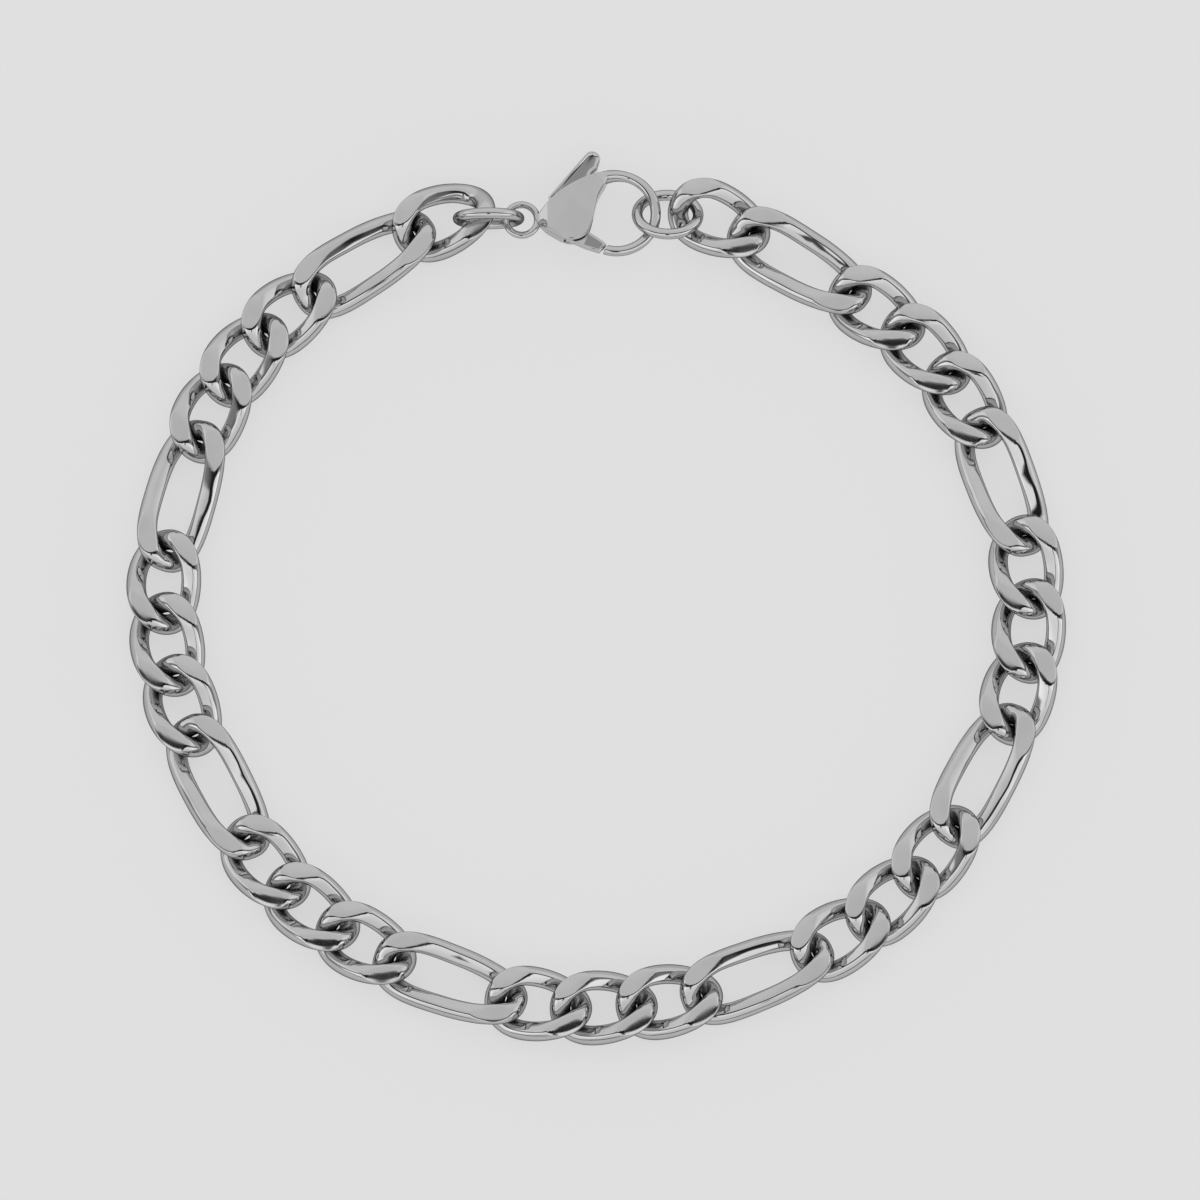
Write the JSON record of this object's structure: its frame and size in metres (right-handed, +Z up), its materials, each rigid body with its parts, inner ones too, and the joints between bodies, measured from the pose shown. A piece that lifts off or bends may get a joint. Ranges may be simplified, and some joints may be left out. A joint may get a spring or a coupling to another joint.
{
  "type": "link bracelet",
  "caption": "Polished steel figaro link bracelet, a closed loop of long and short flat-ground curb links with a lobster clasp and jump rings.",
  "frame": {"origin": "bottom centre of the bracelet's bounding box, on the surface that it lies on, in the middle of the wrist opening", "axes": "+X along the closing line from the clasp's eye towards its hook, +Y from the middle of the loop to the clasp, +Z up from the surface"},
  "size_m": [0.076, 0.0744, 0.0058],
  "materials": {
    "link_steel": "polished stainless steel",
    "ring_steel": "polished stainless steel wire",
    "clasp_steel": "polished cast stainless steel",
    "lever_steel": "polished stamped stainless steel"
  },
  "bodies": {
    "bracelet": {"short_link_01": "link_steel", "long_link_02": "link_steel", "short_link_03": "link_steel", "short_link_04": "link_steel", "short_link_05": "link_steel", "long_link_06": "link_steel", "short_link_07": "link_steel", "short_link_08": "link_steel", "short_link_09": "link_steel", "long_link_10": "link_steel", "short_link_11": "link_steel", "short_link_12": "link_steel", "short_link_13": "link_steel", "long_link_14": "link_steel", "short_link_15": "link_steel", "short_link_16": "link_steel", "short_link_17": "link_steel", "long_link_18": "link_steel", "short_link_19": "link_steel", "short_link_20": "link_steel", "short_link_21": "link_steel", "long_link_22": "link_steel", "short_link_23": "link_steel", "short_link_24": "link_steel", "short_link_25": "link_steel", "long_link_26": "link_steel", "short_link_27": "link_steel", "short_link_28": "link_steel", "short_link_29": "link_steel", "long_link_30": "link_steel", "short_link_31": "link_steel", "eye_ring": "ring_steel", "hook_ring": "ring_steel", "clasp_body": "clasp_steel", "hinge_pin": "ring_steel"},
    "lever": {"clasp_lever": "lever_steel"}
  },
  "joints": [
    {"name": "lever_hinge", "type": "hinge", "parent": "bracelet", "child": "lever", "pos_m": [-0.00245, 0.03082, 0.00202], "axis": [0.0175, 0.0001, 0.9998], "range_deg": [0, 25], "stiffness_Nm_per_rad": 0.01, "springref_deg": -20.05}
  ]
}
